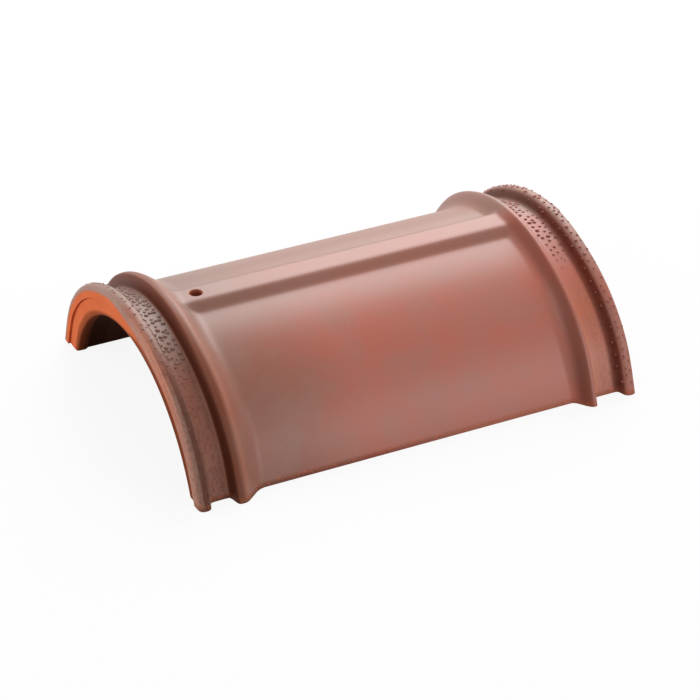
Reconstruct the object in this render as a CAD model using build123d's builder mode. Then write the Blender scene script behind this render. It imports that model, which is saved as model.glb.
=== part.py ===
# Clay ridge tile: one fired piece, arched over the ridge, with a ribbed collar at each end.
# X runs along the ridge, Z is up, and the two long feet stand on Z = 0.
import math
import os

from build123d import *

# Overall sizes of the tile, in mm
tile_length = 370.0
foot_half_width = 129.5
arch_height = 92.0
wall = 12.5

# Flat strip along the crown, the sloped step beside it and the rounded flanks
strip_rise = 6.5
strip_half_width = 10.5
step_run = 7.5
flank_bulge = 2.2
flank_angle = 34.0
strip_round = 4.5
step_foot_round = 7.0

# Collar at each end: rises above the plain arch, and distances from the tile's end.
# The bead away from the nail hole stands farther in by far_bead_shift and runs out more steeply.
rim_rise = 9.4
rim_length = 9.0
valley_rise = 1.0
valley_start = 13.0
valley_end = 27.5
bead_rise = 12.0
bead_start = 31.0
bead_end = 37.0
run_out_end = 57.0
far_bead_shift = 6.0
far_run_out_end = 58.0
run_out_sink = 4.0

# Rounded corners of the collar
rim_end_round = 6.0
rim_back_round = 3.0
valley_round = 3.0
bead_front_round = 3.5
bead_back_round = 7.0
run_out_round = 4.0

# End face and the lip inside it
end_recess = 2.0
lip_length = 10.0
lip_depth = 2.0

# Nose on the end face away from the hole
nose_length = 4.0
nose_width = 14.0
nose_height = 11.0
nose_drop = 4.5
nose_round = 3.0
nose_edge_round = 1.5

# Nail hole in the crown strip
hole_diameter = 9.0
hole_from_end = 60.0
hole_rim_round = 1.2

# Arch centre, radii and levels that follow from the sizes above
arch_radius = (foot_half_width**2 + arch_height**2) / (arch_height + arch_height)
arch_centre = arch_height - arch_radius
inner_radius = arch_radius - wall
inner_crown = arch_centre + inner_radius
inner_foot = math.sqrt(inner_radius**2 - arch_centre**2)
lip_crown = inner_crown - lip_depth
strip_level = arch_height + strip_rise
rim_level = arch_height + rim_rise
valley_level = arch_height + valley_rise
bead_level = arch_height + bead_rise
sink_level = arch_height - run_out_sink
middle = -nose_length / 2
tile_end = middle - tile_length / 2
nose_end = middle + tile_length / 2
body_end = tile_end + bead_end
far_body_end = nose_end - bead_end - far_bead_shift
hole_place = tile_end + hole_from_end
hole_radius = hole_diameter / 2
turned_diameter = 2 * (arch_radius + bead_rise)
ridge_axis = Axis((0, 0, arch_centre), (1, 0, 0))

# Points of the body's section, on the near side and mirrored to the far side
bulge_radius = arch_radius + flank_bulge
bulge_reach = bulge_radius * math.sin(math.radians(flank_angle))
bulge_level = arch_centre + bulge_radius * math.cos(math.radians(flank_angle))
step_foot_reach = strip_half_width + step_run
step_foot_level = arch_centre + math.sqrt(arch_radius**2 - step_foot_reach**2)
near_foot, far_foot = (-foot_half_width, 0), (foot_half_width, 0)
near_bulge, far_bulge = (-bulge_reach, bulge_level), (bulge_reach, bulge_level)
near_step_foot, far_step_foot = (-step_foot_reach, step_foot_level), (step_foot_reach, step_foot_level)
near_strip_corner, far_strip_corner = (-strip_half_width, strip_level), (strip_half_width, strip_level)

# The two collars: place of the tile's end, direction into the tile, shift of the bead and end of its run-out
collars = [(tile_end, 1, 0, run_out_end), (nose_end, -1, far_bead_shift, far_run_out_end)]

with BuildPart() as ridge_tile:
    # Body: crown strip, sloped steps and flanks over the hollow vault
    with BuildSketch(Plane.YZ.offset(body_end)) as body_section:
        with BuildLine():
            near_flank = ThreePointArc(near_foot, near_bulge, near_step_foot)
            Polyline(near_step_foot, near_strip_corner, far_strip_corner, far_step_foot)
            far_flank = ThreePointArc(far_step_foot, far_bulge, far_foot)
            vault = ThreePointArc((inner_foot, 0), (0, inner_crown), (-inner_foot, 0))
            Line(far_flank @ 1, vault @ 0)
            Line(vault @ 1, near_flank @ 0)
        make_face()
        for corner in (near_strip_corner, far_strip_corner):
            fillet(body_section.vertices().sort_by_distance(corner)[0], radius=strip_round)
        for corner in (near_step_foot, far_step_foot):
            fillet(body_section.vertices().sort_by_distance(corner)[0], radius=step_foot_round)
    extrude(amount=far_body_end - body_end)

    # Collars: end rim, valley and bead, turned about the ridge axis
    for end_place, inward, bead_shift, slope_end in collars:
        bead_place = end_place + inward * bead_shift
        rim_front_corner = (end_place, rim_level)
        rim_back_corner = (end_place + inward * rim_length, rim_level)
        valley_front_corner = (end_place + inward * valley_start, valley_level)
        valley_back_corner = (bead_place + inward * valley_end, valley_level)
        bead_front_corner = (bead_place + inward * bead_start, bead_level)
        bead_back_corner = (bead_place + inward * bead_end, bead_level)
        corner_rounds = [
            (rim_front_corner, rim_end_round),
            (rim_back_corner, rim_back_round),
            (valley_front_corner, valley_round),
            (valley_back_corner, valley_round),
            (bead_front_corner, bead_front_round),
            (bead_back_corner, bead_back_round),
        ]
        with BuildSketch(Plane.XZ) as collar_section:
            with BuildLine():
                Polyline(
                    (end_place + inward * end_recess, lip_crown),
                    (end_place + inward * end_recess, valley_level),
                    (end_place, valley_level),
                    rim_front_corner,
                    rim_back_corner,
                    valley_front_corner,
                    valley_back_corner,
                    bead_front_corner,
                    bead_back_corner,
                    (end_place + inward * slope_end, sink_level),
                    (bead_place + inward * bead_end, sink_level),
                    (bead_place + inward * bead_end, inner_crown),
                    (end_place + inward * (lip_length + lip_depth), inner_crown),
                    (end_place + inward * lip_length, lip_crown),
                    close=True,
                )
            make_face()
            for corner, corner_round in corner_rounds:
                fillet(collar_section.vertices().sort_by_distance(corner)[0], radius=corner_round)
        revolve(axis=ridge_axis)

    # The feet are cut level
    Box(
        tile_length + tile_length,
        turned_diameter,
        turned_diameter,
        align=(Align.CENTER, Align.CENTER, Align.MAX),
        mode=Mode.SUBTRACT,
    )

    # The beads run out softly onto the strip and the flanks
    run_outs = [
        (body_end, tile_end + run_out_end),
        (nose_end - far_run_out_end, far_body_end),
    ]
    seams = [
        edge
        for low_end, high_end in run_outs
        for edge in ridge_tile.edges().filter_by_position(Axis.X, low_end, high_end)
        if edge.bounding_box().max.Z > wall and edge.geom_type not in (GeomType.CIRCLE, GeomType.LINE)
    ]
    fillet(seams, radius=run_out_round)

    # Nose on the crown of the end face away from the hole
    with BuildSketch(Plane.YZ.offset(nose_end - end_recess)):
        with Locations((0, rim_level - nose_drop - nose_height / 2)):
            RectangleRounded(nose_width, nose_height, nose_round)
    extrude(amount=end_recess + nose_length)
    fillet(ridge_tile.faces().sort_by(Axis.X)[-1].edges(), radius=nose_edge_round)

    # Nail hole through the strip near one end, opening out over a rounded rim
    with BuildSketch(Plane.XZ) as hole_section:
        with BuildLine():
            wall_line = Polyline(
                (hole_place, strip_level),
                (hole_place, lip_crown),
                (hole_place + hole_radius, lip_crown),
                (hole_place + hole_radius, strip_level - hole_rim_round),
            )
            rim_arc = TangentArc(
                wall_line @ 1, (hole_place + hole_radius + hole_rim_round, strip_level), tangent=(0, 1)
            )
            Line(rim_arc @ 1, wall_line @ 0)
        make_face()
    revolve(axis=Axis((hole_place, 0, 0), (0, 0, 1)), mode=Mode.SUBTRACT)

ridge_tile.part.label = "ridge_tile"

os.makedirs("parts", exist_ok=True)
export_step(ridge_tile.part, "parts/ridge_tile.step")
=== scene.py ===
import math
import random

import bmesh
import bpy
import numpy as np
from mathutils import Matrix, Vector, noise


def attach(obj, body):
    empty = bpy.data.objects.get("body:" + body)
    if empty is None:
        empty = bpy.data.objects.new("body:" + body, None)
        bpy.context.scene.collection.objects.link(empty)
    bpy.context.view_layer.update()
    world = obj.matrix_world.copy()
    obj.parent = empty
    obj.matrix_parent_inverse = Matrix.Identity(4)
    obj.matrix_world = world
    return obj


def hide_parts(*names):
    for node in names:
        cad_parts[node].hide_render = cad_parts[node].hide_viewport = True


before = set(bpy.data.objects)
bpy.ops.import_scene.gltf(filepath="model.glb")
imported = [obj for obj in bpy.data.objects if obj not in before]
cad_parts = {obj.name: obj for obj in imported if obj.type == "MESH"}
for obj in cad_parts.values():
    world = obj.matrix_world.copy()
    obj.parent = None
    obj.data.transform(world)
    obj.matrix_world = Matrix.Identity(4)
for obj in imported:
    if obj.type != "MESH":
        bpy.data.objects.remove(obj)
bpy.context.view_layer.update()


# Tile: one arched piece of red-firing clay, pressed in a mould and fired. Its section is an arch with a flat
# strip along the crown. Each end has a turned collar: an end rim, a shallow valley and a bead that runs out
# softly onto the strip and the flanks. The feet are cut level.
MM = 0.001
TILE_LENGTH = 370
FOOT_HALF_WIDTH = 129.5
ARCH_HEIGHT = 92
WALL = 12.5
LIP_LENGTH = 10
LIP_DEPTH = 2
NOSE_LENGTH = 4
ARCH_RADIUS = (FOOT_HALF_WIDTH**2 + ARCH_HEIGHT**2) / (2 * ARCH_HEIGHT)
ARCH_CENTRE = ARCH_HEIGHT - ARCH_RADIUS
TILE_MIDDLE = -NOSE_LENGTH / 2
TILE_START = TILE_MIDDLE - TILE_LENGTH / 2
TILE_STOP = TILE_MIDDLE + TILE_LENGTH / 2

# Collar line: distance from the tile's end, and rise above the plain arch. The spline cuts the corners round.
# The bead away from the nail hole stands a little farther in and runs out more steeply.
COLLAR_LINE = (
    (3.5, -14.5), (2, -13), (2, -8), (2, -1), (2, -1), (0, -1), (0, -1), (0, 3), (0.6, 8.4), (4, 9.9),
    (8, 9.6), (10.2, 7.5), (12, 1.6), (14.5, 1), (18, 1), (22, 1), (26, 1), (28.2, 1.4), (30, 11),
    (32.5, 12), (37, 12), (42, 8.4), (57, -4), (64, -8.5), (76, -8.5),
)
SHARED_POINTS = 14
FAR_COLLAR_LINE = COLLAR_LINE[:SHARED_POINTS] + (
    (20, 1), (25.5, 1), (31.5, 1), (34, 1.4), (36, 11), (38, 12), (40.5, 12), (44.5, 8.6),
    (53, -3.5), (59, -8.5), (76, -8.5),
)
VAULT_LINE = (
    (60, -WALL), (30, -WALL), (LIP_LENGTH + LIP_DEPTH, -WALL), (LIP_LENGTH + LIP_DEPTH, -WALL),
    (LIP_LENGTH, -WALL - LIP_DEPTH),
)
SPLINE_ORDER = 3
SPLINE_STEPS = 5
LINE_MERGE = 0.05
SPIN_STEPS = 300
SPIN_HALF_ANGLE = math.radians(74)

collar_curve = bpy.data.curves.new("collar_line", "CURVE")
collar_curve.dimensions = "3D"
line_points = [(TILE_START + d, rise) for d, rise in COLLAR_LINE]
line_points += [(TILE_STOP - d, rise) for d, rise in reversed(FAR_COLLAR_LINE)]
line_points += [(TILE_STOP - d, rise) for d, rise in reversed(VAULT_LINE)]
line_points += [(TILE_START + d, rise) for d, rise in VAULT_LINE]
spline = collar_curve.splines.new("NURBS")
spline.points.add(len(line_points) - 1)
for point, (along, rise) in zip(spline.points, line_points):
    point.co = (along, 0, ARCH_HEIGHT + rise, 1)
spline.order_u = SPLINE_ORDER
spline.use_cyclic_u = True
spline.resolution_u = SPLINE_STEPS
collar_line = bpy.data.objects.new("collar_line", collar_curve)
line_mesh = bpy.data.meshes.new_from_object(collar_line)

clay = bmesh.new()
clay.from_mesh(line_mesh)
bmesh.ops.remove_doubles(clay, verts=clay.verts, dist=LINE_MERGE)
arch_axis = Vector((0, 0, ARCH_CENTRE))
bmesh.ops.rotate(clay, verts=clay.verts, cent=arch_axis, matrix=Matrix.Rotation(-SPIN_HALF_ANGLE, 3, "X"))
bmesh.ops.spin(
    clay, geom=clay.verts[:] + clay.edges[:], axis=(1, 0, 0), cent=arch_axis,
    angle=2 * SPIN_HALF_ANGLE, steps=SPIN_STEPS,
)
bpy.data.objects.remove(collar_line)
bpy.data.curves.remove(collar_curve)
bpy.data.meshes.remove(line_mesh)

# Flat crown strip, its sloped steps and the slightly bulging flanks, blended softly into the two beads.
# A turn is the angle from the crown about the arch's axis, in radians.
STRIP_RISE = 6.5
STRIP_HALF_WIDTH = 10.5
STEP_RUN = 7.5
STEP_SOFTNESS = 2.4
STEP_TURN = 0.3
SECTION_TURN = 0.4
SECTION_POINTS = 1601
SOFTENING_POINTS = 120
FLANK_BULGE = 2.2
COLLAR_BULGE = 2.8
HAUNCH_TURNS = (0.3, 0.8, 0.92, 1.24)
HAUNCH_RISES = (-12, -2)
OUTSIDE_DEPTH = 10
BODY_START = 33
BEAD_BLEND = 4


def smooth_step(value, low, high):
    share = np.clip((value - low) / (high - low), 0, 1)
    return share * share * (3 - 2 * share)


def between(value, stops):
    """Rises over the first two stops and falls over the last two."""
    return smooth_step(value, stops[0], stops[1]) * (1 - smooth_step(value, stops[2], stops[3]))


def flank_radius(turn):
    """Radius of the flanks, which bulge a little between the crown and the feet."""
    foot_turn = math.acos(-ARCH_CENTRE / ARCH_RADIUS)
    return ARCH_RADIUS + FLANK_BULGE * np.sin(math.pi * np.clip(np.abs(turn) / foot_turn, 0, 1))


def collar_radius(turn):
    """Radius of the plain arch under the collars, which is a little full over the haunches."""
    return ARCH_RADIUS + COLLAR_BULGE * between(np.abs(turn), HAUNCH_TURNS)


def body_radius(turn):
    """Radius of the body's outside, with the edges of the strip and the steps softened."""
    line = np.linspace(-SECTION_TURN, SECTION_TURN, SECTION_POINTS)
    across = np.abs(ARCH_RADIUS * np.sin(line))
    strip = (ARCH_HEIGHT + STRIP_RISE - ARCH_CENTRE) / np.cos(line)
    fall = np.clip((across - STRIP_HALF_WIDTH) / STEP_RUN, 0, 1)
    section = strip * (1 - fall) + flank_radius(line) * fall
    reach = np.arange(-SOFTENING_POINTS, SOFTENING_POINTS + 1) * (line[1] - line[0]) * ARCH_RADIUS
    spread = np.exp(-0.5 * (reach / STEP_SOFTNESS) ** 2)
    soft = np.convolve(np.pad(section, SOFTENING_POINTS, mode="edge"), spread / spread.sum(), mode="valid")
    return np.where(np.abs(turn) < STEP_TURN, np.interp(turn, line, soft), flank_radius(turn))


places = np.array([vertex.co for vertex in clay.verts])
turns = np.arctan2(places[:, 1], places[:, 2] - ARCH_CENTRE)
radii = np.hypot(places[:, 1], places[:, 2] - ARCH_CENTRE)
past_collar = np.abs(places[:, 0] - TILE_MIDDLE) < TILE_LENGTH / 2 - BODY_START
outside = (radii > ARCH_RADIUS - OUTSIDE_DEPTH) & past_collar
radii = radii + (collar_radius(turns) - ARCH_RADIUS) * smooth_step(radii - ARCH_RADIUS, *HAUNCH_RISES)
body = body_radius(turns)
nearness = np.clip(BEAD_BLEND - np.abs(radii - body), 0, None) / BEAD_BLEND
shaped = np.maximum(radii, body) + nearness * nearness * BEAD_BLEND / 4
radii = np.where(outside, shaped, radii)
places[:, 1] = radii * np.sin(turns)
places[:, 2] = ARCH_CENTRE + radii * np.cos(turns)
for vertex, place in zip(clay.verts, places):
    vertex.co = place

# The press and the drying leave the faces a little uneven, and the feet are then cut level.
UNEVEN = 0.22
UNEVEN_SIZE = 46
CUT_REACH = 0.0001
CUT_MERGE = 0.001
for vertex in clay.verts:
    spot = Vector(vertex.co)
    outward = Vector((0, spot.y, spot.z - ARCH_CENTRE)).normalized()
    vertex.co -= outward * UNEVEN * (1 + noise.noise(spot / UNEVEN_SIZE)) / 2

cut = bmesh.ops.bisect_plane(
    clay, geom=clay.verts[:] + clay.edges[:] + clay.faces[:], dist=CUT_REACH,
    plane_co=(0, 0, 0), plane_no=(0, 0, 1), clear_inner=True,
)
foot_edges = [part for part in cut["geom_cut"] if isinstance(part, bmesh.types.BMEdge)]
bmesh.ops.holes_fill(clay, edges=foot_edges)
bmesh.ops.remove_doubles(clay, verts=clay.verts, dist=CUT_MERGE)
bmesh.ops.recalc_face_normals(clay, faces=clay.faces)
bmesh.ops.scale(clay, verts=clay.verts, vec=(MM, MM, MM))
tile_mesh = bpy.data.meshes.new("clay_tile")
clay.to_mesh(tile_mesh)
clay.free()
clay_tile = bpy.data.objects.new("clay_tile", tile_mesh)
bpy.context.scene.collection.objects.link(clay_tile)

# Nose: a small block of the same clay, pressed with the tile on the crown of the end face away from the nail
# hole. Its edges are rounded, and its root runs back into the end.
NOSE_WIDTH = 14
NOSE_HEIGHT = 11
NOSE_TOP_RISE = 4.9
NOSE_ROOT = 6
NOSE_ROUND = 2.6
NOSE_ROUND_STEPS = 4
nose = bmesh.new()
bmesh.ops.create_cube(nose, size=1)
nose_size = (NOSE_LENGTH + NOSE_ROOT, NOSE_WIDTH, NOSE_HEIGHT)
bmesh.ops.scale(nose, verts=nose.verts, vec=Vector(nose_size) * MM)
nose_top = ARCH_HEIGHT + NOSE_TOP_RISE
nose_place = (TILE_STOP + NOSE_LENGTH - nose_size[0] / 2, 0, nose_top - NOSE_HEIGHT / 2)
bmesh.ops.translate(nose, verts=nose.verts, vec=Vector(nose_place) * MM)
bmesh.ops.bevel(
    nose, geom=nose.edges[:], offset=NOSE_ROUND * MM, segments=NOSE_ROUND_STEPS, profile=0.5,
    affect="EDGES", material=-1,
)
nose_mesh = bpy.data.meshes.new("nose_block")
nose.to_mesh(nose_mesh)
nose.free()
nose_block = bpy.data.objects.new("nose_block", nose_mesh)
bpy.context.scene.collection.objects.link(nose_block)

# Nail hole: punched down through the crown strip near one end while the clay was soft, so its rim is rounded.
# The rim line gives reach past the hole's wall and rise above the strip.
HOLE_RADIUS = 4.5
HOLE_FROM_END = 60
HOLE_RIM = 1.2
HOLE_SIDES = 40
RIM_LINE = ((0, -1.4), (0.3, -0.6), (0.8, -0.15), (1.6, 0.3))
PUNCH_DEPTH = 40
PUNCH_HEAD_REACH = 4
PUNCH_HEAD_RISE = 8
PUNCH_MERGE = 0.01
STRIP_LEVEL = ARCH_HEIGHT + STRIP_RISE
punch = bmesh.new()
punch_line = [(0, -PUNCH_DEPTH), (HOLE_RADIUS, -PUNCH_DEPTH)]
punch_line += [(HOLE_RADIUS + reach, rise) for reach, rise in RIM_LINE]
punch_line += [(HOLE_RADIUS + PUNCH_HEAD_REACH, PUNCH_HEAD_RISE), (0, PUNCH_HEAD_RISE)]
punch_points = [punch.verts.new((reach * MM, 0, (STRIP_LEVEL + rise) * MM)) for reach, rise in punch_line]
for first, second in zip(punch_points, punch_points[1:]):
    punch.edges.new((first, second))
bmesh.ops.spin(
    punch, geom=punch.verts[:] + punch.edges[:], axis=(0, 0, 1), cent=(0, 0, 0),
    angle=2 * math.pi, steps=HOLE_SIDES, use_merge=True,
)
bmesh.ops.remove_doubles(punch, verts=punch.verts, dist=PUNCH_MERGE * MM)
bmesh.ops.recalc_face_normals(punch, faces=punch.faces)
half_side = Matrix.Rotation(math.pi / HOLE_SIDES, 3, "Z")
bmesh.ops.rotate(punch, verts=punch.verts, cent=(0, 0, 0), matrix=half_side)
bmesh.ops.translate(punch, verts=punch.verts, vec=((TILE_START + HOLE_FROM_END) * MM, 0, 0))
punch_mesh = bpy.data.meshes.new("nail_punch")
punch.to_mesh(punch_mesh)
punch.free()
nail_punch = bpy.data.objects.new("nail_punch", punch_mesh)
bpy.context.scene.collection.objects.link(nail_punch)

# The nose is joined to the tile and the hole is cut from it, so that the tile is one closed mesh.
CREASE_ANGLE = math.radians(42)
for tool, operation in ((nose_block, "UNION"), (nail_punch, "DIFFERENCE")):
    press = clay_tile.modifiers.new(tool.name, "BOOLEAN")
    press.operation = operation
    press.object = tool
    press.solver = "EXACT"
bpy.context.view_layer.update()
pressed_tile = clay_tile.evaluated_get(bpy.context.evaluated_depsgraph_get())
pressed_mesh = bpy.data.meshes.new_from_object(pressed_tile)
clay_tile.modifiers.clear()
clay_tile.data = pressed_mesh
bpy.data.meshes.remove(tile_mesh)
for tool in (nose_block, nail_punch):
    tool_mesh = tool.data
    bpy.data.objects.remove(tool)
    bpy.data.meshes.remove(tool_mesh)
pressed_mesh.name = "clay_tile"
pressed_mesh.shade_smooth()
pressed_mesh.set_sharp_from_angle(angle=CREASE_ANGLE)

# Bare clay shows on the end faces, inside and thinly at the cut of the feet, where no engobe was poured. On
# the near side the engobe runs over the rim to the step of the face. Painted shade darkens the inside of the
# vault, the recessed end face on the near side and the nail hole.
END_FACE = (2.6, 4.2)
RIM_EDGE = 3
RIM_EDGE_SOFTNESS = 3
SHOULDER = (-0.25, 0.1, 0.5, 0.75)
SHOULDER_DROP = 4
NEAR_SIDE = (-0.1, 0.5)
NEAR_COVER = 0.55
LEG_FADE = (0.5, 0.95)
LEG_COVER = 0.33
INSIDE_RISES = (-9, -5)
FOOT_BARE = 0.12
FOOT_CUT = (0.02, 0.5)
SHADE_RISES = (-13, -10.5)
SHADE_DEPTH = (3, 14)
SHADE_AT_END = 0.55
NEAR_FACE_SHADE = 0.5
NEAR_FACE_SHADE_SHIFT = 10
HOLE_EDGE = 0.2
HOLE_BARE = 0.8
HOLE_SHADE = 0.6


def vertex_spots(mesh):
    """Places of a mesh's vertices, in millimetres."""
    flat = np.empty(len(mesh.vertices) * 3)
    mesh.vertices.foreach_get("co", flat)
    return flat.reshape(-1, 3) / MM


spots = vertex_spots(pressed_mesh)
spot_turns = np.arctan2(spots[:, 1], spots[:, 2] - ARCH_CENTRE)
spot_radii = np.hypot(spots[:, 1], spots[:, 2] - ARCH_CENTRE)
spot_rises = spot_radii - collar_radius(spot_turns)
from_end = TILE_LENGTH / 2 - np.abs(spots[:, 0] - TILE_MIDDLE)
near_side = smooth_step(-spot_turns, *NEAR_SIDE)
shoulder = between(-spot_turns, SHOULDER)
leg_fade = smooth_step(-spot_turns, *LEG_FADE)

below_rim = 1 - smooth_step(spot_rises - RIM_EDGE + SHOULDER_DROP * shoulder, 0, RIM_EDGE_SOFTNESS)
bare_face = (1 - smooth_step(from_end, *END_FACE)) * below_rim
bare_face *= 1 - NEAR_COVER * near_side - LEG_COVER * leg_fade
bare_inside = 1 - smooth_step(spot_rises, *INSIDE_RISES)
bare_foot = FOOT_BARE * (1 - smooth_step(spots[:, 2], *FOOT_CUT))
# Painted shade: dark inside the vault, reaching out over the near side's recessed end face, and in the nail
# hole.
shade_rises = spot_rises - NEAR_FACE_SHADE_SHIFT * near_side * (from_end < END_FACE[1])
shade_depth = np.maximum(NEAR_FACE_SHADE * near_side, smooth_step(from_end, *SHADE_DEPTH))
painted_vault_shade = 1 - smooth_step(shade_rises, *SHADE_RISES)
painted_vault_shade *= SHADE_AT_END + (1 - SHADE_AT_END) * shade_depth
hole_reach = np.hypot(spots[:, 0] - TILE_START - HOLE_FROM_END, spots[:, 1])
in_hole = 1 - smooth_step(hole_reach, HOLE_RADIUS + HOLE_EDGE, HOLE_RADIUS + HOLE_RIM)
bare = np.maximum.reduce([bare_face, bare_inside, bare_foot, HOLE_BARE * in_hole])
painted_inside_shade = np.maximum(painted_vault_shade, HOLE_SHADE * in_hole)

# Where a spot lies: at which end, how far down the sides, and in which band of the collar or on the body.
END_BLEND = (-20, 20)
FAR_BEAD_SHIFT = 6
LOW_DOWN = (0.4, 0.75)
LEFT_LOW = (0.22, 0.6)
COLLAR_BAND = (24, 28)
VALLEY = (11, 13.5, 26, 29)
LEFT_BEAD_BAND = (25, 28, 38, 44)
BODY_BAND = (36, 46)
at_stop = smooth_step(spots[:, 0], *END_BLEND)
at_start = 1 - at_stop
from_bead = from_end - FAR_BEAD_SHIFT * at_stop
low_down = smooth_step(np.abs(spot_turns), *LOW_DOWN)
left_low = smooth_step(np.abs(spot_turns), *LEFT_LOW)
on_collar = 1 - smooth_step(from_end, *COLLAR_BAND)
in_valley = between(from_end - FAR_BEAD_SHIFT / 2 * at_stop, VALLEY)
on_left_bead = at_start * between(from_bead, LEFT_BEAD_BAND)
on_body = smooth_step(from_bead, *BODY_BAND)

# Engobe lies thin on the rims and just above the feet.
RIM_WEAR = (0.5, 7)
RIM_WEAR_SHARE = 0.28
RIGHT_WEAR_LOSS = 0.6
FOOT_WEAR = (0.5, 1.5, 3.5, 6)
FOOT_WEAR_SHARE = 0.4
rim_wear = RIM_WEAR_SHARE * (1 - smooth_step(from_end, *RIM_WEAR)) * (1 - RIGHT_WEAR_LOSS * at_stop)
foot_wear = FOOT_WEAR_SHARE * between(spots[:, 2], FOOT_WEAR)
thin = np.maximum(rim_wear, foot_wear)

# A dark tone, partly thicker slip and partly painted shade: painted shade in the left groove, in the groove
# behind the right rim, on the beads where their slopes turn from the light, along the rounded lower edge of
# the feet and on the steps beside the crown strip; low on the left rim it is darker.
GROOVE = (26.5, 28.5, 30, 33.5)
RIGHT_GROOVE_LOSS = 0.95
LEFT_BEAD = (28, 31, 34, 40)
LEFT_BEAD_SHARE = 0.5
LOW_BEAD_SHARE = 0.16
RIGHT_SLOPE = (32, 35.5, 39, 44.5)
RIGHT_SLOPE_SHARE = 0.6
NEAR_SLOPE = (-0.05, 0.15)
FAR_SLOPE_SHARE = 0.4
ROLL_BACK = (8.5, 10.5, 14, 18)
ROLL_BACK_SHARE = 0.72
LEFT_RIM = (3.5, 5, 8.5, 11)
LEFT_RIM_SHARE = 0.4
FOOT_EDGE = (1.6, 5)
FOOT_EDGE_SHARE = 0.6
RIGHT_FOOT_LOSS = 0.2
STEP_REACH = (9, 12, 17, 21)
STEP_SHARE = 0.25
left_bead = (LEFT_BEAD_SHARE + LOW_BEAD_SHARE * left_low) * at_start * between(from_bead, LEFT_BEAD)
near_slope = FAR_SLOPE_SHARE + (1 - FAR_SLOPE_SHARE) * smooth_step(-spot_turns, *NEAR_SLOPE)
right_slope = RIGHT_SLOPE_SHARE * at_stop * near_slope * between(from_bead, RIGHT_SLOPE)
# Painted shade, with some darker slip: grooves, slopes turned from the light, the feet's lower edge and the
# steps.
dark_slip_and_shade = np.maximum.reduce([
    (1 - RIGHT_GROOVE_LOSS * at_stop) * between(from_bead, GROOVE),
    left_bead + right_slope,
    ROLL_BACK_SHARE * at_stop * between(from_end, ROLL_BACK),
    LEFT_RIM_SHARE * at_start * (left_low + low_down) * between(from_end, LEFT_RIM),
    (FOOT_EDGE_SHARE - RIGHT_FOOT_LOSS * at_stop) * (1 - smooth_step(spots[:, 2], *FOOT_EDGE)),
    STEP_SHARE * on_body * between(np.abs(spots[:, 1]), STEP_REACH),
])

# It fired grey on the left collar and on the right rim, less so low in the left valley and on the front and
# the shoulder of the left rim. On the far side and along the crown the grey is partly greyer flashing and
# partly painted sheen, the bright room reflected on faces that turn up and away.
SHOULDER_RIM = (6, 10)
SHOULDER_SPREAD = 2.5
SPREAD_TURNS = (-0.25, 0.05, 0.25, 0.45)
RIM_FRONT = (0.8, 2.4)
RIM_FRONT_RISES = (-2.5, -0.5)
RIM_FRONT_LEG_LOSS = 0.75
VALLEY_GREY_LOSS = 0.95
RIM_FRONT_GREY_LOSS = 0.8
SHOULDER_GREY_LOSS = 0.9
FAR_GREY_AND_SHEEN = (-9, 16)
FAR_GREY_AND_SHEEN_SHARE = 0.95
CROWN_GREY_AND_SHEEN = (0.15, 0.55)
CROWN_GREY_AND_SHEEN_SHARE = 0.55
RIGHT_ROLL = (8, 12)
RIGHT_ROLL_SHARE = 0.8
LOW_ROLL_LOSS = 0.75
shoulder_rim = at_start * shoulder * (1 - smooth_step(from_end, *SHOULDER_RIM))
shoulder_spread = SHOULDER_SPREAD * between(-spot_turns, SPREAD_TURNS)
rim_front = at_start * near_side * (1 - smooth_step(from_end - shoulder_spread, *RIM_FRONT))
rim_front *= smooth_step(spot_rises, *RIM_FRONT_RISES) * (1 - RIM_FRONT_LEG_LOSS * leg_fade)
left_grey = on_collar * at_start * (1 - VALLEY_GREY_LOSS * in_valley * left_low)
left_grey *= 1 - np.maximum(RIM_FRONT_GREY_LOSS * rim_front, SHOULDER_GREY_LOSS * shoulder_rim)
right_roll = at_stop * (1 - smooth_step(from_end, *RIGHT_ROLL))
grey = np.maximum.reduce([
    left_grey,
    # Painted sheen in part: the far side and the crown are greyed for the bright room's reflection.
    FAR_GREY_AND_SHEEN_SHARE * smooth_step(spots[:, 1], *FAR_GREY_AND_SHEEN) * (1 - on_left_bead),
    CROWN_GREY_AND_SHEEN_SHARE * on_body * (1 - smooth_step(np.abs(spot_turns), *CROWN_GREY_AND_SHEEN)),
    RIGHT_ROLL_SHARE * right_roll * (1 - LOW_ROLL_LOSS * low_down),
])

# It fired orange low in the right valley, at the right feet, on the left rim's front and on the left bead.
BEAD_EDGE = (21, 25, 28, 31)
VALLEY_ORANGE_SHARE = 0.45
FOOT_ORANGE = (1, 4.5)
FOOT_ORANGE_SHARE = 0.6
RIM_FRONT_ORANGE_SHARE = 0.7
LEFT_BEAD_ORANGE_SHARE = 0.34
orange = np.maximum.reduce([
    at_stop * low_down * np.maximum(VALLEY_ORANGE_SHARE * in_valley, between(from_bead, BEAD_EDGE)),
    FOOT_ORANGE_SHARE * at_stop * (1 - smooth_step(spots[:, 2], *FOOT_ORANGE)),
    RIM_FRONT_ORANGE_SHARE * rim_front,
    LEFT_BEAD_ORANGE_SHARE * on_left_bead,
])

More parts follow.
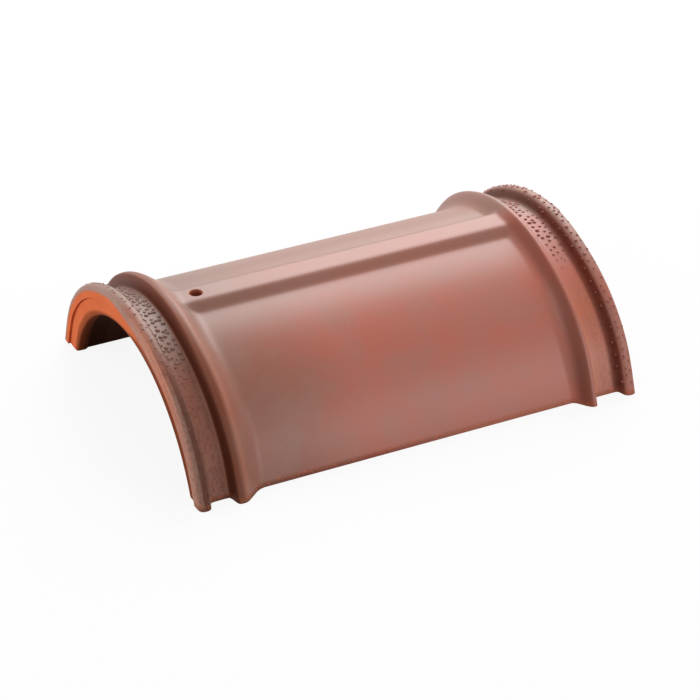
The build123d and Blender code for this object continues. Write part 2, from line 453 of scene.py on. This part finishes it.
# Fine dark streaks run down over the collars, most of all low on the sides and on the left shoulder. The
# satin is weaker on the collars, and weakest on bare clay and under the dark slip and painted shade.
CROWN_STREAKS = 0.06
LOW_STREAKS = 0.54
SHOULDER_STREAKS = 0.8
RIGHT_STREAK_LOSS = 0.4
BODY_STREAKS = 0.05
SATIN = 0.5
COLLAR_SATIN_LOSS = 0.15
LEFT_SATIN_LOSS = 0.4
DULL_LOSS = 0.85
DARK_SLIP_AND_SHADE_DULLNESS = 1.3
collar_streaks = CROWN_STREAKS + LOW_STREAKS * np.maximum(low_down, SHOULDER_STREAKS * shoulder_rim)
streaked = np.maximum(on_collar * collar_streaks * (1 - RIGHT_STREAK_LOSS * at_stop), BODY_STREAKS)
collar_satin = 1 - (COLLAR_SATIN_LOSS + LEFT_SATIN_LOSS * left_low * at_start) * on_collar
dull = np.maximum(bare, np.minimum(1, DARK_SLIP_AND_SHADE_DULLNESS * dark_slip_and_shade))

# Each layer is stored at the vertices, for the material.
INSIDE_SHADE_SHARE = 0.95
THIN_SHARE = 0.5
DARK_SLIP_AND_SHADE_SHARE = 0.85
ORANGE_SHARE = 0.8
GREY_SHARE = 0.7


def add_layers(mesh, layers):
    for name, amounts in layers.items():
        layer = mesh.attributes.new(name, "FLOAT", "POINT")
        layer.data.foreach_set("value", amounts.astype(np.float32))


tile_layers = {
    "bare_clay": bare,
    "painted_shade_inside": INSIDE_SHADE_SHARE * painted_inside_shade,
    "thin_engobe": THIN_SHARE * thin * (1 - bare),
    "dark_slip_and_painted_shade": DARK_SLIP_AND_SHADE_SHARE * dark_slip_and_shade * (1 - bare),
    "orange_band": ORANGE_SHARE * orange * (1 - bare),
    "grey_flash_and_sheen": GREY_SHARE * grey * (1 - bare),
    "drawn_streaks": streaked * (1 - bare),
    "satin": SATIN * collar_satin * (1 - DULL_LOSS * dull),
}
add_layers(pressed_mesh, tile_layers)

# Engobed roof clay: a red-brown slip poured over the tile and fired to a low satin, with soft red and
# brown-grey flashing from the kiln, a sandy grain, and plain orange clay where the slip is missing. Painted
# shade darkens the inside, the hollows and the nubs' lower sides, and painted sheen greys the far side and
# the crown. The real grain is finer than a pixel, so it is drawn coarser here.
ENGOBE_RED = "#BD6754"
ENGOBE_BROWN = "#975B48"
# Grey flashing, also the colour of painted sheen on the far side and the crown.
GREY_ENGOBE_AND_SHEEN = "#987C6F"
ENGOBE_ORANGE = "#CC7A55"
# Dark slip, also the colour of painted shade.
DARK_ENGOBE_AND_SHADE = "#57291D"
BARE_CLAY = "#E2764A"
BARE_CLAY_DARK = "#D0663E"
# Painted shade: the tone of the clay where the inside and the nail hole lie in shade.
CLAY_IN_SHADE = "#1E0A05"
CLOUDS = (
    # name, size in millimetres, detail
    ("flash", 170, 2),
    ("mottle", 30, 4),
    ("speckle", 1.4, 3),
    ("grain", 1.0, 2),
)
CLOUD_ROUGHNESS = 0.55
BROWNING_START = 10
BROWNING_STOP = -150
FLASH_EDGES = (0.6, 1.5)
MOTTLE_EDGES = (0.3, 0.75)
MOTTLE_TOP = 0.5
MOTTLE_GREY_SHARE = 0.7
STREAK_SIZE = 1.25
STREAK_STRETCH = (1, 0.3, 0.3)
STREAK_DETAIL = 3
STREAK_ROUGHNESS = 0.6
STREAK_EDGES = (0.48, 0.64)
STREAK_TOP = 0.6
STREAK_RELIEF = -6
THIN_EDGES = (0.66, 0.98)
ENGOBE_ROUGHNESS = 0.4
CLAY_ROUGHNESS = 0.82
CLAY_IOR = 1.5
GRAIN_STRENGTH = 0.12
GRAIN_HEIGHT = 0.3
ENGOBE_LAYERS = (
    ("grey_flash_and_sheen", GREY_ENGOBE_AND_SHEEN),
    ("orange_band", ENGOBE_ORANGE),
    ("dark_slip_and_painted_shade", DARK_ENGOBE_AND_SHADE),
    ("nub_shade", DARK_ENGOBE_AND_SHADE),
)


def linear(code):
    channels = [int(code[i:i + 2], 16) / 255 for i in (1, 3, 5)]
    return [c / 12.92 if c <= 0.04045 else ((c + 0.055) / 1.055) ** 2.4 for c in channels] + [1]


def add_node(tree, kind, settings, links):
    """Adds a node. A setting that is a number, or that only a socket has, is the value of a socket."""
    node = tree.nodes.new(kind)
    for name, value in settings.items():
        if isinstance(name, int) or name in node.inputs and not hasattr(node, name):
            node.inputs[name].default_value = value
        else:
            setattr(node, name, value)
    for name, source in links.items():
        tree.links.new(source, node.inputs[name])
    return node


# A colour mix has its share at socket 0 and its colours at 6 and 7. A map range goes from 1 and 2 to 3 and 4.
engobed_clay = bpy.data.materials.new("engobed_roof_clay")
engobed_clay.use_nodes = True
tree = engobed_clay.node_tree
shader = tree.nodes["Principled BSDF"]
tile_place = add_node(tree, "ShaderNodeTexCoord", {}, {}).outputs["Object"]
ridge_place = add_node(tree, "ShaderNodeSeparateXYZ", {}, {0: tile_place}).outputs[0]
soft = {"clamp": True, "interpolation_type": "SMOOTHSTEP", 3: 0.0, 4: 1.0}
layer = {}
for name in (*tile_layers, "nub_shade"):
    layer[name] = add_node(tree, "ShaderNodeAttribute", {"attribute_name": name}, {}).outputs["Fac"]
cloud = {}
for name, size, detail in CLOUDS:
    cloud[name] = add_node(
        tree, "ShaderNodeTexNoise",
        {"Scale": 1 / (size * MM), "Detail": detail, "Roughness": CLOUD_ROUGHNESS},
        {"Vector": tile_place},
    ).outputs["Fac"]

# The red turns browner towards the left end.
left_browning = add_node(
    tree, "ShaderNodeMapRange", soft | {1: BROWNING_START * MM, 2: BROWNING_STOP * MM}, {0: ridge_place}
)
flash_sum = add_node(
    tree, "ShaderNodeMath", {"operation": "ADD"}, {0: left_browning.outputs[0], 1: cloud["flash"]}
)
flash = add_node(
    tree, "ShaderNodeMapRange", soft | {1: FLASH_EDGES[0], 2: FLASH_EDGES[1]}, {0: flash_sum.outputs[0]}
)
mottle = add_node(
    tree, "ShaderNodeMapRange", soft | {1: MOTTLE_EDGES[0], 2: MOTTLE_EDGES[1], 4: MOTTLE_TOP},
    {0: cloud["mottle"]},
)
faint_mottle = add_node(
    tree, "ShaderNodeMath", {"operation": "MULTIPLY", 1: MOTTLE_GREY_SHARE}, {0: mottle.outputs[0]}
)
streak_place = add_node(
    tree, "ShaderNodeVectorMath", {"operation": "MULTIPLY", 1: STREAK_STRETCH}, {0: tile_place}
)
streaks = add_node(
    tree, "ShaderNodeTexNoise",
    {"Scale": 1 / (STREAK_SIZE * MM), "Detail": STREAK_DETAIL, "Roughness": STREAK_ROUGHNESS},
    {"Vector": streak_place.outputs[0]},
)
streak_dark = add_node(
    tree, "ShaderNodeMapRange", soft | {1: STREAK_EDGES[0], 2: STREAK_EDGES[1], 4: STREAK_TOP},
    {0: streaks.outputs["Fac"]},
)
streak_share = add_node(
    tree, "ShaderNodeMath", {"operation": "MULTIPLY"}, {0: streak_dark.outputs[0], 1: layer["drawn_streaks"]}
)

engobe = add_node(
    tree, "ShaderNodeMix", {"data_type": "RGBA", 6: linear(ENGOBE_RED), 7: linear(ENGOBE_BROWN)},
    {0: flash.outputs[0]},
).outputs[2]
coats = [(faint_mottle.outputs[0], GREY_ENGOBE_AND_SHEEN)]
coats += [(layer[name], colour) for name, colour in ENGOBE_LAYERS]
coats += [(streak_share.outputs[0], DARK_ENGOBE_AND_SHADE)]
for share, colour in coats:
    engobe = add_node(
        tree, "ShaderNodeMix", {"data_type": "RGBA", 7: linear(colour)}, {0: share, 6: engobe}
    ).outputs[2]
fresh_clay = add_node(
    tree, "ShaderNodeMix", {"data_type": "RGBA", 6: linear(BARE_CLAY), 7: linear(BARE_CLAY_DARK)},
    {0: mottle.outputs[0]},
)
clay_tone = add_node(
    tree, "ShaderNodeMix", {"data_type": "RGBA", 7: linear(CLAY_IN_SHADE)},
    {0: layer["painted_shade_inside"], 6: fresh_clay.outputs[2]},
)
thin_sum = add_node(
    tree, "ShaderNodeMath", {"operation": "ADD"}, {0: layer["thin_engobe"], 1: cloud["speckle"]}
)
thin_share = add_node(
    tree, "ShaderNodeMapRange", soft | {1: THIN_EDGES[0], 2: THIN_EDGES[1]}, {0: thin_sum.outputs[0]}
)
bare_share = add_node(
    tree, "ShaderNodeMath", {"operation": "MAXIMUM"}, {0: thin_share.outputs[0], 1: layer["bare_clay"]}
)
tone = add_node(
    tree, "ShaderNodeMix", {"data_type": "RGBA"},
    {0: bare_share.outputs[0], 6: engobe, 7: clay_tone.outputs[2]},
)
rough = add_node(
    tree, "ShaderNodeMapRange", {3: ENGOBE_ROUGHNESS, 4: CLAY_ROUGHNESS}, {0: bare_share.outputs[0]}
)
relief = add_node(
    tree, "ShaderNodeMath", {"operation": "MULTIPLY_ADD", 1: STREAK_RELIEF},
    {0: streak_share.outputs[0], 2: cloud["grain"]},
)
bump = add_node(
    tree, "ShaderNodeBump", {"Strength": GRAIN_STRENGTH, "Distance": GRAIN_HEIGHT * MM},
    {"Height": relief.outputs[0]},
)
tree.links.new(tone.outputs[2], shader.inputs["Base Color"])
tree.links.new(rough.outputs[0], shader.inputs["Roughness"])
tree.links.new(layer["satin"], shader.inputs["Specular IOR Level"])
tree.links.new(bump.outputs["Normal"], shader.inputs["Normal"])
shader.inputs["IOR"].default_value = CLAY_IOR
pressed_mesh.materials.clear()
pressed_mesh.materials.append(engobed_clay)
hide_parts("ridge_tile")
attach(clay_tile, "root")


# Nubs: small round bumps of clay that the mould leaves on the rims and in the valleys, so that the mortar or
# the next tile grips there. They are dense over the crown and get small and sparse towards the feet.
NUB_SEED = 7
NUB_RADIUS = 1.9
NUB_HEIGHT = 1.3
NUB_SINK = 0.35
NUB_SUBDIVISIONS = 2
NUB_REACH = 1.18
NUB_FADES = {"start": (0.3, 0.7), "stop": (0.2, 0.6)}
ROW_OFFSET = 0.5
TURN_JITTER = 0.3
PLACE_JITTER = 1
SIZE_RANGE = (0.65, 1.15)
SMALLEST_NUB = 0.28
MISSING_SHARE = 0.1
RIM_TOP_POINT = 8
NUB_ROWS = (
    # collar end, distance from the end, spacing, size at the crown, size at the feet
    ("start", 4.6, 9.0, 0.6, 0.3),
    ("start", 8.2, 9.0, 0.6, 0.3),
    ("start", 13.8, 5.4, 0.9, 0.34),
    ("start", 17.2, 5.4, 1.0, 0.34),
    ("start", 20.6, 5.4, 1.0, 0.34),
    ("start", 24.0, 5.4, 1.0, 0.34),
    ("stop", 3.0, 7.0, 0.75, 0.5),
    ("stop", 6.5, 7.0, 0.8, 0.55),
    ("stop", 10.8, 11.0, 0.7, 0.6),
    ("stop", 16.5, 7.0, 0.7, 0.0),
    ("stop", 21.0, 6.0, 0.95, 0.0),
    ("stop", 26.0, 6.0, 0.95, 0.0),
)


def collar_rise(distance):
    """Rise of the collar above the arch at a distance from the tile's end."""
    line = COLLAR_LINE[RIM_TOP_POINT:]
    return float(np.interp(distance, [d for d, _ in line], [rise for _, rise in line]))


random.seed(NUB_SEED)
nubs = bmesh.new()
nub_places = []
for row, (end, distance, spacing, crown_size, foot_size) in enumerate(NUB_ROWS):
    count = int(2 * NUB_REACH * ARCH_RADIUS / spacing)
    for step in range(count):
        stand = step + ROW_OFFSET * (row % 2) + random.uniform(-TURN_JITTER, TURN_JITTER)
        turn = -NUB_REACH + stand * 2 * NUB_REACH / count
        place = distance + random.uniform(-PLACE_JITTER, PLACE_JITTER)
        fade = float(smooth_step(abs(turn), *NUB_FADES[end]))
        size = (crown_size + (foot_size - crown_size) * fade) * random.uniform(*SIZE_RANGE)
        if size < SMALLEST_NUB or random.random() < MISSING_SHARE:
            continue
        along = TILE_START + place if end == "start" else TILE_STOP - place
        radius = float(collar_radius(turn)) + collar_rise(place)
        half_width, half_height = NUB_RADIUS * size, NUB_HEIGHT * size
        sit = Matrix.Translation((along, 0, ARCH_CENTRE)) @ Matrix.Rotation(-turn, 4, "X")
        sit = sit @ Matrix.Translation((0, 0, radius - NUB_SINK * half_height))
        sit = sit @ Matrix.Diagonal((half_width, half_width, half_height, 1))
        bmesh.ops.create_icosphere(
            nubs, subdivisions=NUB_SUBDIVISIONS, radius=1, matrix=Matrix.Scale(MM, 4) @ sit
        )
        nub_places.append((along, turn, radius, size))
nub_mesh = bpy.data.meshes.new("collar_nubs")
nubs.to_mesh(nub_mesh)
nubs.free()
nub_mesh.shade_smooth()
nub_mesh.materials.append(engobed_clay)

# The nubs fired as the collars did, grey at the left; at the right over the crown they are darker, partly
# darker slip and partly painted shade. Painted shade darkens the lower, left side of each, which turns from
# the light.
NUB_GREY_SHARE = 0.7
NUB_GREY_LOSS = 0.7
NUB_GREY_FADE = (0.42, 0.8)
NUB_DARK_SHARE = 0.35
NUB_DARK_LOSS = 0.6
NUB_SHADE_SHARE = 0.55
NUB_SHADE_FALL = (-0.1, 0.75)
SHADE_LEAN = 0.6
NUB_SATIN = 0.3
nub_spots = vertex_spots(nub_mesh)
nub_turns = np.arctan2(nub_spots[:, 1], nub_spots[:, 2] - ARCH_CENTRE)
left_fade = 1 - NUB_GREY_LOSS * smooth_step(np.abs(nub_turns), *NUB_GREY_FADE)
right_fade = 1 - NUB_DARK_LOSS * smooth_step(np.abs(nub_turns), *LOW_DOWN)
nub_middles = np.repeat(np.array(nub_places), len(nub_spots) // len(nub_places), axis=0)
middle_along, middle_turns, middle_radii, middle_sizes = nub_middles.T
nub_fall = (nub_turns - middle_turns) * np.sign(middle_turns) * middle_radii
nub_fall = (nub_fall + SHADE_LEAN * (middle_along - nub_spots[:, 0])) / (NUB_RADIUS * middle_sizes)
# Painted shade on each nub's lower, left side, and partly on the darker nubs at the right.
nub_layers = {
    "nub_shade": NUB_SHADE_SHARE * smooth_step(nub_fall, *NUB_SHADE_FALL),
    "grey_flash_and_sheen": NUB_GREY_SHARE * (nub_spots[:, 0] < 0) * left_fade,
    "dark_slip_and_painted_shade": NUB_DARK_SHARE * (nub_spots[:, 0] > 0) * right_fade,
    "satin": np.full(len(nub_spots), NUB_SATIN),
}
add_layers(nub_mesh, nub_layers)

# Painted shadow: each nub's cast shadow is painted on the tile at its foot, on the same lower, left side.
SHADOW_DROP = 1.2
SHADOW_SHIFT = 0.6
SHADOW_REACH = (0.8, 3)
SHADOW_SHARE = 0.3
SHADOW_LOWEST_RISE = -1
painted_nub_shadow = np.zeros(len(spots))
# Painted shadow of each nub, cast on the tile.
for along, turn, radius, size in nub_places:
    lower = turn + math.copysign(SHADOW_DROP / radius, turn)
    away = np.hypot(spots[:, 0] - along + SHADOW_SHIFT, (spot_turns - lower) * radius)
    painted_nub_shadow = np.maximum(painted_nub_shadow, SHADOW_SHARE * size * (1 - smooth_step(away, *SHADOW_REACH)))
add_layers(pressed_mesh, {"nub_shade": painted_nub_shadow * (spot_rises > SHADOW_LOWEST_RISE)})
collar_nubs = bpy.data.objects.new("collar_nubs", nub_mesh)
bpy.context.scene.collection.objects.link(collar_nubs)
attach(collar_nubs, "root")


# Studio: the tile stands on a floor of plain white paper that runs on as the background, in a pale room. The
# camera and reflections see the paper nearly white, but the light that it throws on the tile is grey.
FLOOR_REACH = 12
PAPER_SEEN = "#F4F4F4"
PAPER_BOUNCE = "#8C8A88"
PAPER_ROUGHNESS = 0.9
PAPER_GLOW = 1.0
GLOW_SHARE = 0.9
ROOM_LEVEL = 0.45
ROOM_SEEN = 1.0
WHITE = (1, 1, 1, 1)
floor_form = bmesh.new()
bmesh.ops.create_grid(floor_form, x_segments=1, y_segments=1, size=FLOOR_REACH)
floor_mesh = bpy.data.meshes.new("studio_floor")
floor_form.to_mesh(floor_mesh)
floor_form.free()
studio_floor = bpy.data.objects.new("studio_floor", floor_mesh)
bpy.context.scene.collection.objects.link(studio_floor)
white_paper = bpy.data.materials.new("white_paper")
white_paper.use_nodes = True
paper = white_paper.node_tree
paper_shader = paper.nodes["Principled BSDF"]
paper_shader.inputs["Roughness"].default_value = PAPER_ROUGHNESS
paper_glow = add_node(paper, "ShaderNodeEmission", {"Color": WHITE, "Strength": PAPER_GLOW}, {})
sight = add_node(paper, "ShaderNodeLightPath", {}, {})
paper_tone = add_node(
    paper, "ShaderNodeMix", {"data_type": "RGBA", 6: linear(PAPER_BOUNCE), 7: linear(PAPER_SEEN)},
    {0: sight.outputs["Is Camera Ray"]},
)
paper.links.new(paper_tone.outputs[2], paper_shader.inputs["Base Color"])
sight_mirror = add_node(
    paper, "ShaderNodeMath", {"operation": "MAXIMUM"},
    {0: sight.outputs["Is Glossy Ray"], 1: sight.outputs["Is Transmission Ray"]},
)
sight_seen = add_node(
    paper, "ShaderNodeMath", {"operation": "MAXIMUM"},
    {0: sight.outputs["Is Camera Ray"], 1: sight_mirror.outputs[0]},
)
sight_share = add_node(
    paper, "ShaderNodeMath", {"operation": "MULTIPLY", 1: GLOW_SHARE}, {0: sight_seen.outputs[0]}
)
paper_mix = add_node(
    paper, "ShaderNodeMixShader", {},
    {0: sight_share.outputs[0], 1: paper_shader.outputs[0], 2: paper_glow.outputs[0]},
)
paper.links.new(paper_mix.outputs[0], paper.nodes["Material Output"].inputs["Surface"])
floor_mesh.materials.append(white_paper)

world = bpy.data.worlds.new("studio_room")
bpy.context.scene.world = world
world.use_nodes = True
room = world.node_tree
room_light = room.nodes["Background"]
room_light.inputs["Color"].default_value = WHITE
room_sight = add_node(room, "ShaderNodeLightPath", {}, {})
room_mirror = add_node(
    room, "ShaderNodeMath", {"operation": "MAXIMUM"},
    {0: room_sight.outputs["Is Glossy Ray"], 1: room_sight.outputs["Is Transmission Ray"]},
)
room_seen = add_node(
    room, "ShaderNodeMath", {"operation": "MAXIMUM"},
    {0: room_sight.outputs["Is Camera Ray"], 1: room_mirror.outputs[0]},
)
room_level = add_node(
    room, "ShaderNodeMapRange", {1: 0.0, 2: 1.0, 3: ROOM_LEVEL, 4: ROOM_SEEN}, {0: room_seen.outputs[0]}
)
room.links.new(room_level.outputs[0], room_light.inputs["Strength"])

# Lights: a broad soft box high behind the right end, a smaller one low on the left for the end face, and a
# weak one at the front right that lifts the near flank. All are round and aimed at the tile.
LIGHT_AIM = (0, 0, 0.05)
LIGHTS = (
    # name, place in metres, size in metres, watts
    ("back_softbox", (0.95, 1.35, 1.45), 1.9, 40),
    ("left_softbox", (-2.0, 0.5, 0.35), 0.9, 21),
    ("front_fill", (1.2, -2.0, 0.75), 1.6, 16),
)
for name, place, size, watts in LIGHTS:
    lamp = bpy.data.lights.new(name, "AREA")
    lamp.shape = "DISK"
    lamp.size = size
    lamp.energy = watts
    holder = bpy.data.objects.new(name, lamp)
    holder.location = place
    holder.rotation_euler = (Vector(LIGHT_AIM) - Vector(place)).to_track_quat("-Z", "Y").to_euler()
    bpy.context.scene.collection.objects.link(holder)

# Camera: a long lens, from the left and above, as in the photograph. Its place, aim and focal length come
# from a fit to the tile's outline.
CAMERA_PLACE = (-824.8 + TILE_MIDDLE, -1728.9, 1178.3)
CAMERA_AIM = (-3.92 + TILE_MIDDLE, -17.05, 24.0)
CAMERA_ROLL = math.radians(-0.45)
SENSOR_WIDTH = 36
FOCAL_PIXELS = 2838.8
PHOTO_WIDTH = 700
FARTHEST_SEEN = 100
lens = bpy.data.cameras.new("studio_camera")
lens.sensor_width = SENSOR_WIDTH
lens.lens = SENSOR_WIDTH * FOCAL_PIXELS / PHOTO_WIDTH
lens.clip_end = FARTHEST_SEEN
camera = bpy.data.objects.new("studio_camera", lens)
sight_line = (Vector(CAMERA_AIM) - Vector(CAMERA_PLACE)) * MM
camera.matrix_world = (
    Matrix.Translation(Vector(CAMERA_PLACE) * MM)
    @ sight_line.to_track_quat("-Z", "Y").to_matrix().to_4x4()
    @ Matrix.Rotation(CAMERA_ROLL, 4, "Z")
)
bpy.context.scene.collection.objects.link(camera)
bpy.context.scene.camera = camera
bpy.context.scene.view_settings.view_transform = "Standard"
